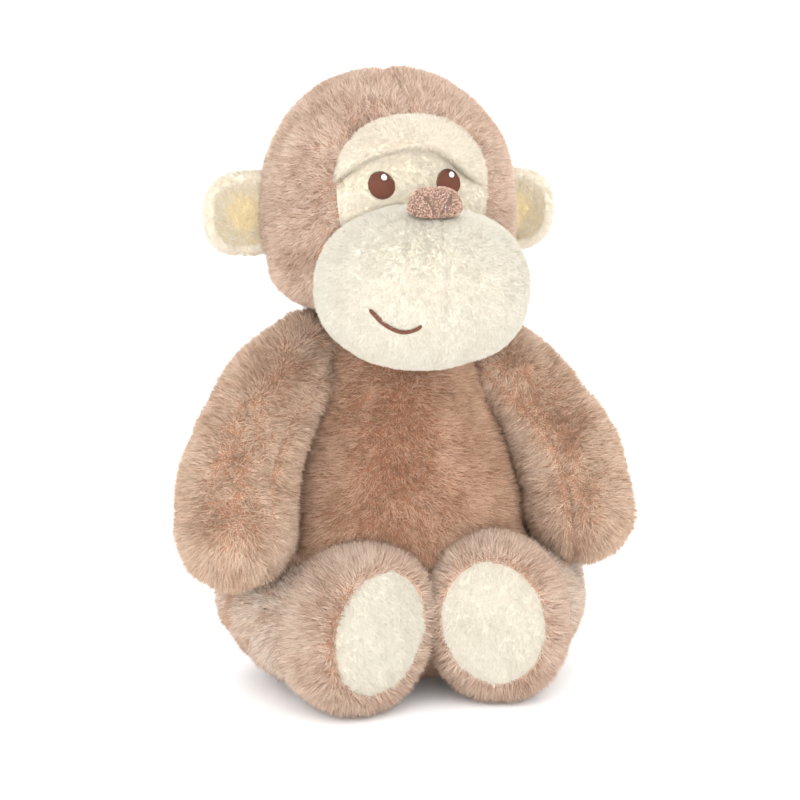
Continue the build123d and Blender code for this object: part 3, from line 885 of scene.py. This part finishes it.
def dress(cloth, body, fur, panels, flow, keep=None, parting=None):
    """Cut a cover into its panels, and give each its finish, its body and its pile.

    panels holds a name, the CAD node that it stands for, and which face centres are in it.
    """
    centres = read(cloth.data.polygons, "center") / MM
    for name, node, belongs in panels:
        panel = cut_panel(name, cloth, belongs(centres), CLOTH_THICKNESS)
        finish(panel, body, fur.slot, fur.backing, node)
        pile(f"{name}_pile", panel, body, fur, flow, keep, parting, sum(map(ord, name)))
    bpy.data.objects.remove(cloth)


def finish(obj, body, slot, material=None, node=None):
    """Attach a piece to its body, with its material and with its CAD node hidden, if it has them; slot is not
    used.
    """
    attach(obj, body)
    if material is not None:
        obj.data.materials.append(material)
    if node is not None:
        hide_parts(node)


def stuffing(node, body, cover, inset, voxel, clear_of=(), top=math.inf):
    """A filling: loose fibre with a lumpy surface behind its cover, clear of the balls given."""
    obj = remeshed(linked_copy(cover, f"{node}_fibre"), voxel)
    points = mesh_points(obj)
    lumps = 0.45 * noise(points, 5.0, SEED + 31) + 0.25 * noise(points, 2.2, SEED + 32)
    points -= mesh_normals(obj) * (inset - 0.8 * lumps)[:, None]
    if clear_of:
        points = press(points, clear_of, 0.4)
    points[:, 2] = np.clip(points[:, 2], 2.0, top)
    set_points(obj, points)
    obj.data.shade_smooth()
    finish(obj, body, "filling", FILLING, node)


# ---- Finishes ----

HEAD_BROWN = linear((235, 207, 186))
# The legs' brown, painted lighter than the head's brown of the same head_plush cloth: painted light on the
# legs.
LEG_BROWN_PAINTED_LIGHT = linear((248, 226, 207))
BODY_BROWN = linear((222, 182, 154))
ARM_BROWN = linear((234, 203, 178))
CREAM = linear((240, 234, 218))
# The eye patch's cream, painted lighter than the brow's cream of the same face_cream cloth: painted light
# against the shade of its sunken bay under the brow.
FACE_CREAM_PAINTED_LIGHT = linear((254, 245, 226))
BROW_CREAM = linear((241, 231, 212))
EAR_CREAM = linear((252, 242, 222))
EAR_APRICOT = linear((255, 235, 192))
NOSE_BROWN = linear((203, 170, 152))
THREAD_BROWN = linear((98, 60, 47))
WHITE = linear((246, 244, 238))


def long_fur(slot, colour, length=5.0, lean=16.0, tousle=1.2):
    """Brushed brown pile, soft and upright, with its backing painted darker and redder as shade down among
    its roots.
    """
    # The backing shows between the strands; its darker, redder colour is painted shade for the depth of the
    # pile.
    backing = cloth_material(f"{slot}_backing", colour * np.array([0.60, 0.46, 0.40]), 0.6, 0.14, 0.4)
    made = shades(slot, colour, (0.57, 0.75, 0.90, 1.0, 1.08, 1.15), 0.45)
    return Fur(slot, backing, made, 4.4, length, 0.38, lean, tousle, 0.05)


def short_fur(slot, colour, length=1.6, density=8.5):
    """Close-cropped, slightly nubby cream pile."""
    backing = cloth_material(f"{slot}_backing", colour * np.array([0.99, 0.97, 0.94]), 0.5, 0.03, 0.4)
    made = shades(slot, colour, (0.92, 0.95, 0.98, 1.0, 1.01, 1.03), 0.3)
    return Fur(slot, backing, made, density, length, 0.36, 30.0, 0.7, 0.22)


HEAD_FUR = long_fur("head_plush", HEAD_BROWN, 3.9, 25.0, 3.0)
FOOT_FUR = long_fur("head_plush", HEAD_BROWN)
LEG_FUR = long_fur("head_plush", LEG_BROWN_PAINTED_LIGHT, 4.2)
BODY_FUR = long_fur("body_plush", BODY_BROWN)
ARM_FUR = long_fur("arm_plush", ARM_BROWN)
CREAM_FUR = short_fur("cream_plush", CREAM)
FACE_FUR = short_fur("face_cream", FACE_CREAM_PAINTED_LIGHT)
BROW_FUR = short_fur("face_cream", BROW_CREAM)
EAR_FUR = short_fur("ear_cream", EAR_CREAM, 1.9)
EAR_LINING = short_fur("ear_inner", EAR_APRICOT, 1.4)
FILLING = cloth_material("filling_fibre", WHITE * 0.9, 1.2, 0.10, 0.8)
POUCH_CLOTH = cloth_material("pouch_weave", WHITE * 0.8, 0.4, 0.12, 0.5)
PELLET_PLASTIC = cloth_material("pellet_plastic", WHITE * 0.75, 2.0, 0.05, 0.05)
LABEL_SATIN = cloth_material("label_satin", WHITE * 0.95, 0.3, 0.05, 0.2)
BROWN_THREAD = cloth_material("brown_thread", THREAD_BROWN, 0.5, 0.25, 0.4)
WHITE_THREAD = cloth_material("white_thread", WHITE, 0.5, 0.06, 0.3)
# The nose pad under the loops, painted dark: painted shade in the nostril tucks and between the loops.
NOSE_BACKING_TUCK_SHADE = cloth_material("nose_backing_tuck_shade", NOSE_BROWN * 0.42, 0.5, 0.2, 0.5)


# ---- Where the pile lies, parts and stops ----

EYES = {name: (sum(cad_box(name)) / 2)[[0, 2]] for name in ("left_eye", "right_eye")}
EYE_RADIUS = 5.1
SMILE_KEYS = [(-28.0, 164.8), (-23.5, 159.9), (-17.4, 156.6), (-12.2, 157.3), (-8.7, 160.0)]
SMILE_LINE = curve_through(SMILE_KEYS, 60) + np.array([HEAD[0], 0.0])


def downward(roots, up):
    """Pile brushed down, and a little outward."""
    return 0.2 * up - Z


def head_flow(roots, up):
    """The head's pile: brushed away from the face, and down at the back."""
    away = unit(roots - np.array([HEAD[0], -60.0, HEAD[2] + 6.0]))
    return away - 0.55 * Z


def muzzle_flow(roots, up):
    """The muzzle's pile: brushed outward from under the nose."""
    away = unit(roots - np.array([HEAD[0], -84.0, NOSE_BOTTOM - 8.0]))
    return 0.5 * away - Z


def in_ball(points, centre, radius):
    """1 well inside a ball, 0 outside."""
    gap = np.linalg.norm(points - np.asarray(centre), axis=1) - radius
    return 1.0 - smooth_step(-4.0, -2.0, gap)


def in_muzzle(points):
    """1 well inside the muzzle, 0 outside."""
    across = (points[:, 0] - HEAD[0]) / MUZZLE_HALF_WIDTH
    reach = np.hypot(across, (points[:, 2] - MUZZLE_Z) / MUZZLE_HALF_HEIGHT)
    return np.where(points[:, 1] < -25.0, 1.0 - smooth_step(0.90, 0.97, reach), 0.0)


def head_keep(roots):
    """No pile behind the face patch, the brow and the muzzle."""
    face = np.where(roots[:, 1] < -20.0, 1.0 - smooth_step(0.89, 0.95, face_reach(roots)), 0.0)
    return (1.0 - face) * (1.0 - in_muzzle(roots))


def torso_keep(roots):
    """No pile where the torso runs up into the head."""
    return 1.0 - in_ball(roots, HEAD, HEAD_RADIUS - 2.0)


def clear_of_nose(roots):
    """0 behind the nose, 1 round it."""
    away = (roots - NOSE_MIDDLE) / NOSE_HALF
    return smooth_step(0.85, 0.95, np.hypot(away[:, 0], away[:, 2]))


def muzzle_keep(roots):
    """No pile inside the head, under the nose or under the smile."""
    away = roots[:, None, ::2] - SMILE_LINE[None]
    gap = np.hypot(away[..., 0], away[..., 1]).min(axis=1)
    stitched = np.where(roots[:, 1] < -50.0, 1.0 - smooth_step(0.5, 0.9, gap), 0.0)
    return (1.0 - in_ball(roots, HEAD, HEAD_RADIUS)) * (1.0 - stitched) * clear_of_nose(roots)


def patch_keep(roots):
    """No pile under the eyes or inside the muzzle."""
    kept = 1.0 - in_muzzle(roots)
    for middle in EYES.values():
        gap = np.hypot(*(roots[:, ::2] - middle).T)
        kept = kept * smooth_step(EYE_RADIUS - 0.3, EYE_RADIUS + 0.2, gap)
    return kept


# ---- Seams ----

def ridge(distance, width):
    """1 on a seam, falling off to either side."""
    return np.exp(-((distance / width) ** 2))


def shorter_at(seams):
    """Pile drawn in and shorter along seams."""
    return lambda roots: 1.0 - 0.6 * seams(roots)


def head_seam(points):
    """The seam over the crown and down the back."""
    face = np.where(points[:, 1] < -15.0, smooth_step(BROW_TOP - 6.0, BROW_TOP, points[:, 2]), 1.0)
    return ridge(points[:, 0] - HEAD[0] - HEAD_SEAM_X, 1.7) * face


HEAD_SEAM_X, MUZZLE_SEAM_X = 1.0, 2.0       # from the head's middle
TORSO_SIDE_Y = 3.0


def torso_seams(points):
    """Side seams, the seat's seam and the seam down the back."""
    sides = ridge(points[:, 1] - TORSO_SIDE_Y, 1.6)
    back = np.where(points[:, 1] > 0.0, ridge(points[:, 0], 1.6), 0.0)
    return np.clip(sides + back, 0.0, 1.0)


def limb_angle(points, keys, side, seam):
    """Distance from a limb's seam plane, which turns seam degrees inward from straight ahead."""
    centres, _ = limb_line(keys, side, 60)
    nearest = ((points[:, None] - centres[None]) ** 2).sum(axis=2).argmin(axis=1)
    turn = math.radians(seam)
    return (points - centres[nearest]) @ np.array([side * math.cos(turn), -math.sin(turn), 0.0])


def muzzle_seam(points):
    """The muzzle's faint middle seam."""
    return ridge(points[:, 0] - HEAD[0] - MUZZLE_SEAM_X, 1.3) * smooth_step(55.0, 68.0, -points[:, 1]) * 0.35


# ---- Building ----

NECK_LOW, NECK_HIGH = cad_box("neck_filling")
NECK_BALL = [((NECK_LOW + NECK_HIGH) / 2, (NECK_HIGH[0] - NECK_LOW[0]) / 2)]
MUZZLE_BALLS = [(np.array([HEAD[0] + step, -49.0, MUZZLE_Z - 1.0]), 31.0)
                for step in (-10.0, -5.0, 0.0, 5.0, 10.0)]
POUCH_LOW, POUCH_HIGH = cad_box("bean_pouch")
POUCH_RADIUS = (POUCH_HIGH[2] - POUCH_LOW[2]) / 2
POUCH_BALLS = [(np.array([x, *(POUCH_LOW + POUCH_HIGH)[1:] / 2]), POUCH_RADIUS)
               for x in np.linspace(POUCH_LOW[0] + POUCH_RADIUS, POUCH_HIGH[0] - POUCH_RADIUS, 5)]


def panels_of(names, number_of):
    """Rows for dress: a panel for each name, and the face centres that have its number."""
    return [(f"{name}_cover", f"{name}_panel", lambda centres, number=number: number_of(centres) == number)
            for number, name in enumerate(names)]


def build_head():
    """The head's two panels."""
    cloth = head_cloth()
    puff(cloth, lambda points: np.maximum(head_seam(points), in_muzzle(points)))
    groove(cloth, head_seam, 1.3)
    stuffing("head_filling", "head", cloth, 2.6, 3.0, NECK_BALL + MUZZLE_BALLS)
    panels = panels_of(("head_left", "head_right"), lambda c: c[:, 0] < HEAD[0] + HEAD_SEAM_X)
    dress(cloth, "head", HEAD_FUR, panels, head_flow, head_keep, shorter_at(head_seam))


SEAT_TOP = 8.0


def build_torso():
    """The torso's four panels."""
    cloth = torso_cloth()
    puff(cloth, torso_seams)
    keep_above(cloth, SEAT_HEIGHT)
    groove(cloth, torso_seams, 1.0)
    stuffing("torso_filling", "torso", cloth, 2.6, 3.0, NECK_BALL + POUCH_BALLS, TORSO_TOP - 2.0)

    def number_of(c):
        back = np.where(c[:, 0] >= 0.0, 2, 3)
        return np.where(c[:, 2] < SEAT_TOP, 0, np.where(c[:, 1] < TORSO_SIDE_Y, 1, back))

    panels = panels_of(("seat", "torso_front", "torso_back_left", "torso_back_right"), number_of)
    dress(cloth, "torso", BODY_FUR, panels, downward, torso_keep, shorter_at(torso_seams))


def build_muzzle():
    """The muzzle's two panels, and the surface that its stitching lies on."""
    cloth = muzzle_cloth()
    puff(cloth, lambda points: smooth_step(-44.0, -38.0, points[:, 1]), 1.6)
    surface = Surface(cloth)
    stuffing("muzzle_filling", "head", cloth, 2.2, 2.5)
    panels = panels_of(("muzzle_left", "muzzle_right"), lambda c: c[:, 0] < HEAD[0] + MUZZLE_SEAM_X)
    dress(cloth, "head", CREAM_FUR, panels, muzzle_flow, muzzle_keep, shorter_at(muzzle_seam))
    return surface


def everything(centres):
    """All of a cover, where one panel is the whole of it."""
    return np.ones(len(centres), bool)


def build_face():
    """The eye patch with its eyes, and the brow over it."""
    cloth = face_patch_cloth()
    surface = Surface(cloth)
    dress(cloth, "head", FACE_FUR, [("face_patch_cover", "face_patch", everything)], downward, patch_keep)
    for name, middle in EYES.items():
        eye = stitched_round(f"{name}_stitching", surface, middle, EYE_RADIUS, EYE_RADIUS * 1.02, 0.5)
        finish(eye, "head", "brown_thread", BROWN_THREAD, name)
        spot = middle + np.array([1.2, EYE_RADIUS * 0.52])
        glint = stitched_round(f"{name}_glint_stitching", surface, spot, 1.0, 1.05, 1.5, 0.30, 0.2)
        finish(glint, "head", "white_thread", WHITE_THREAD, f"{name}_glint")
    soft_core(brow_cloth(fullness=0.64, reach=0.74), "brow_filling")
    dress(brow_cloth(), "head", BROW_FUR, [("brow_cover", "brow_band", everything)], head_flow)


def soft_core(obj, node):
    """A small filling in the head, from a shrunken copy of its cover."""
    points = mesh_points(obj)
    set_points(obj, points + mesh_normals(obj) * (0.15 * noise(points, 2.0, SEED + 33))[:, None])
    obj.name = f"{node}_fibre"
    finish(obj, "head", "filling", FILLING, node)


LOOP_COUNT = 2300
LOOP_SHADES = (0.62, 0.88, 1.12)


def terry(name, pad, count, seed):
    """Loops of thread all over a pad, in three shades."""
    rng = np.random.default_rng(SEED * 1000 + seed)
    points = mesh_points(pad)
    corners = np.array([face.vertices[:3] for face in pad.data.polygons])
    a, b, c = (points[corners[:, k]] for k in range(3))
    normals = np.cross(b - a, c - a)
    area = np.linalg.norm(normals, axis=1)
    which = rng.choice(len(area), count, p=area / area.sum())
    roots, up = (a[which] + b[which] + c[which]) / 3.0, unit(normals[which])
    # Loops stay out of the tucks, so the dark pad shows there as painted shade.
    open_to = (tuck_gap(roots - NOSE_MIDDLE) > TUCK_WIDTH) & (roots[:, 1] < NOSE_BACK - 4.0)
    turn = np.linspace(-0.15 * math.pi, 1.15 * math.pi, 6)
    loops = []
    for root, normal in zip(roots[open_to], up[open_to]):
        side = unit(np.cross(normal, rng.normal(size=3)))
        tall, wide = rng.uniform(0.6, 0.95), rng.uniform(0.28, 0.42)
        lean = 0.35 * rng.normal() * np.cross(side, normal)
        loops.append(root + wide * np.outer(np.cos(turn), side)
                     + tall * np.outer(0.35 + 0.55 * np.sin(turn), normal + lean))
    obj = threads_object(name, loops, 0.17, 4)
    for index, factor in enumerate(LOOP_SHADES):
        obj.data.materials.append(fibre_material(f"nose_loop_{index}", NOSE_BROWN * factor, 0.2))
    per_loop = len(obj.data.polygons) // len(loops)
    shade = rng.choice(3, len(loops), p=(0.3, 0.4, 0.3)).astype(np.int32)
    obj.data.polygons.foreach_set("material_index", np.repeat(shade, per_loop))
    finish(obj, "head", "nose_terry")


def build_nose():
    """The nose pad in looped terry."""
    cloth = nose_cloth()
    core = linked_copy(cloth, "nose_core")
    points = mesh_points(core)
    middle = points.mean(axis=0)
    set_points(core, middle + (points - middle) * 0.78)
    soft_core(core, "nose_filling")
    terry("nose_loops", cloth, LOOP_COUNT, 3)
    cloth.name = "nose_cover_pad"
    # The pad carries the painted shade of the tucks.
    finish(cloth, "head", "nose_terry", NOSE_BACKING_TUCK_SHADE, "nose_cover")


def build_smile(surface):
    """The stitched smile."""
    smile = stitched_line("smile_stitching", surface, SMILE_LINE[::6], 0.75, 0.9)
    finish(smile, "head", "brown_thread", BROWN_THREAD, "smile")


def build_ear(name, side):
    """An ear: a cream back with its rim, and a warm lining in the cup."""
    body = f"{name}_ear"
    shell, lining = ear_cloths(name, side)
    dress(shell, body, EAR_FUR, [(f"{body}_shell", f"{body}_back", everything)], head_flow)
    middle = mesh_points(lining).mean(axis=0)

    def edge(roots):
        return 0.9 * smooth_step(5.5, 11.0, np.hypot(*(roots - middle)[:, ::2].T))

    pile(f"{body}_cup_edge_pile", lining, body, EAR_FUR, downward, edge, None, 61)
    dress(lining, body, EAR_LINING, [(f"{body}_lining", f"{body}_inner", everything)], downward)


ARM_SEAM, LEG_SEAM = 28.0, 35.0


def build_limb(name, side, limb, cloth, keys, seam, fur):
    """An arm or a leg: an outer and an inner panel over its filling."""
    body = f"{name}_{limb}"

    def seams(points):
        return ridge(limb_angle(points, keys, side, seam), 1.7)

    puff(cloth, seams, 2.0)
    keep_above(cloth, 1.0)
    groove(cloth, seams, 1.1)
    stuffing(f"{body}_filling", body, cloth, 2.6, 2.6)
    panels = panels_of((f"{body}_outer", f"{body}_inner"), lambda c: limb_angle(c, keys, side, seam) < 0.0)
    dress(cloth, body, fur, panels, downward, None, shorter_at(seams))


def build_foot(name, side):
    """A foot: its cover with the padded sole in its front."""
    body = f"{name}_foot"
    place = centre, across, up, out = sole_frame(name, side)
    cloth = foot_cloth(*place)

    def reach(points, half_width, half_height):
        away = points - centre
        return np.hypot(away @ across / half_width, away @ up / half_height)

    def rim(points):
        near = smooth_step(-6.0, -2.0, (points - centre) @ out)
        return ridge(reach(points, *RIM_HALF) - 1.0, 0.10) * near

    def tub(points):
        return (reach(points, *TUB_HALF) >= 0.97) | ((points - centre) @ out <= -4.0)

    def flow(roots, up):
        return unit(roots - centre) * 0.6 - out * 0.8 - 0.4 * Z

    puff(cloth, rim, 1.6)
    keep_above(cloth, 0.9)
    stuffing(f"{body}_filling", body, cloth, 2.6, 2.6)
    dress(cloth, body, FOOT_FUR, [(f"{body}_tub_cover", f"{body}_cover", tub)], flow)
    sole = [(f"{name}_sole_cover", f"{name}_sole_pad", everything)]
    dress(sole_cloth(*place), body, CREAM_FUR, sole, downward)


def build_neck():
    """The neck's filling, hidden between head and torso."""
    cover = linked_copy(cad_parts["neck_filling"], "neck_shape")
    stuffing("neck_filling", "neck", cover, 1.2, 2.4)
    bpy.data.objects.remove(cover)


PELLET_GAP = 3.5
PELLET_HALF = np.array([1.6, 1.6, 1.2])


def build_pouch():
    """The bean pouch in the seat, and its pellets."""
    pouch = remeshed(linked_copy(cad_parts["bean_pouch"], "bean_pouch_cloth"), 1.6)
    points = mesh_points(pouch)
    points += unit(points - points.mean(axis=0)) * 0.25 * noise(points, 4.0, SEED + 41)[:, None]
    set_points(pouch, points)
    pouch.data.materials.clear()
    pouch.data.shade_smooth()
    finish(pouch, "torso", "pouch_cloth", POUCH_CLOTH, "bean_pouch")
    low, high = cad_box("bean_pellets")
    middle, half = (low + high) / 2, (high - low) / 2 - 1.7
    rng = np.random.default_rng(SEED)
    bead, shape = unit_ball("bead", 1)
    turns = np.array([face.vertices for face in bead.data.polygons])
    bpy.data.objects.remove(bead)
    points, faces = [], []
    straight = half[0] - half[2]
    rows = [np.arange(-reach, reach + 0.1, PELLET_GAP) for reach in half]
    for x, y, z in itertools.product(*rows):
        if math.hypot(max(abs(x) - straight, 0.0), y, z) <= half[2]:
            size = PELLET_HALF * rng.uniform(0.9, 1.0)
            spot = middle + np.array([x, y, z]) + rng.uniform(-0.1, 0.1, 3)
            faces += (turns + len(points) * len(shape)).tolist()
            points.append(spot + shape * size)
    beads = make_object("bean_pellet_heap", np.concatenate(points), faces)
    finish(beads, "torso", "pellets", PELLET_PLASTIC, "bean_pellets")


def build_back_trim():
    """The closing stitches, and the blank label, at the back."""
    low, high = cad_box("closing_stitches")
    middle, back, slope = (low[0] + high[0]) / 2, high[1] + 0.2, 0.8
    paths = [
        [(middle - 2.2, back - 1.2, z - slope), (middle - 1.0, back, z - slope / 2),
         (middle + 1.0, back, z + slope / 2), (middle + 2.2, back - 1.2, z + slope)]
        for z in np.arange(low[2] + 1.0, high[2] - 0.5, 2.6)
    ]
    stitches = threads_object("closing_stitch_threads", paths, 0.35)
    finish(stitches, "torso", "brown_thread", BROWN_THREAD, "closing_stitches")
    low, high = cad_box("care_label")
    middle, half = (low + high) / 2, (high - low) / 2
    rings = []
    for share in np.linspace(-1.0, 1.0, 24):
        centre = middle + 0.2 * math.sin(share * 3.0) * X + half[1] * 0.96 * share * Y
        rings.append(oval(centre, X, Z, max(half[0] * 0.5, 0.35), half[2] * 0.97, 40, 6.0))
    label = skin("care_label_ribbon", *ring_loft(rings))
    finish(label, "torso", "label_satin", LABEL_SATIN, "care_label")


# ---- Stage, light and camera ----

SURROUND_STRENGTH = 1.86


def stage():
    """A plain white floor and a white surround."""
    bpy.ops.mesh.primitive_plane_add(size=12.0)
    floor = bpy.context.object
    floor.name = "floor"
    white = {"Base Color": (0.98, 0.98, 0.985, 1.0), "Roughness": 0.8}
    floor.data.materials.append(plain_material("floor_white", white))
    world = bpy.data.worlds.new("surround")
    world.use_nodes = True
    background = world.node_tree.nodes["Background"]
    background.inputs["Color"].default_value = (1.0, 1.0, 1.0, 1.0)
    background.inputs["Strength"].default_value = SURROUND_STRENGTH
    bpy.context.scene.world = world
    bpy.context.scene.view_settings.view_transform = "Standard"


def lamp(name, place, aim, size, power):
    """A soft square light."""
    data = bpy.data.lights.new(name, "AREA")
    data.size = size
    data.energy = power
    obj = in_scene(name, data)
    obj.location = place
    obj.rotation_euler = (Vector(aim) - Vector(place)).to_track_quat("-Z", "Y").to_euler()


CAMERA_TURN = math.radians(-16.0)
CAMERA_HEIGHT = math.radians(12.5)
CAMERA_REACH = 1.0
SENSOR_WIDTH, LENS = 36.0, 111.4
CAMERA_AIM = Vector((-0.0031, -0.020, 0.1163))


def camera():
    """The camera, a little to the toy's right and above."""
    data = bpy.data.cameras.new("camera")
    data.lens = LENS
    data.sensor_width = SENSOR_WIDTH
    data.clip_start = 0.05
    level = math.cos(CAMERA_HEIGHT)
    away = Vector((math.sin(CAMERA_TURN) * level, -math.cos(CAMERA_TURN) * level, math.sin(CAMERA_HEIGHT)))
    obj = in_scene("camera", data)
    obj.location = CAMERA_AIM + away * CAMERA_REACH
    obj.rotation_euler = (-away).to_track_quat("-Z", "Y").to_euler()
    bpy.context.scene.camera = obj


camera()
stage()
lamp("key", (-0.5, -1.5, 0.45), (0.0, 0.0, 0.12), 1.2, 2.8)
lamp("fill", (0.8, -1.3, 0.35), (0.0, 0.0, 0.12), 1.2, 2.0)
lamp("low", (-0.45, -1.1, 0.05), (0.0, 0.0, 0.15), 0.4, 2.6)
build_head()
build_torso()
build_face()
build_nose()
build_smile(build_muzzle())
for side_name, side_sign in SIDES.items():
    build_ear(side_name, side_sign)
    build_limb(side_name, side_sign, "arm", arm_cloth(side_sign), ARM_KEYS, ARM_SEAM, ARM_FUR)
    build_limb(side_name, side_sign, "leg", leg_cloth(side_sign), LEG_KEYS, LEG_SEAM, LEG_FUR)
    build_foot(side_name, side_sign)
build_neck()
build_pouch()
build_back_trim()
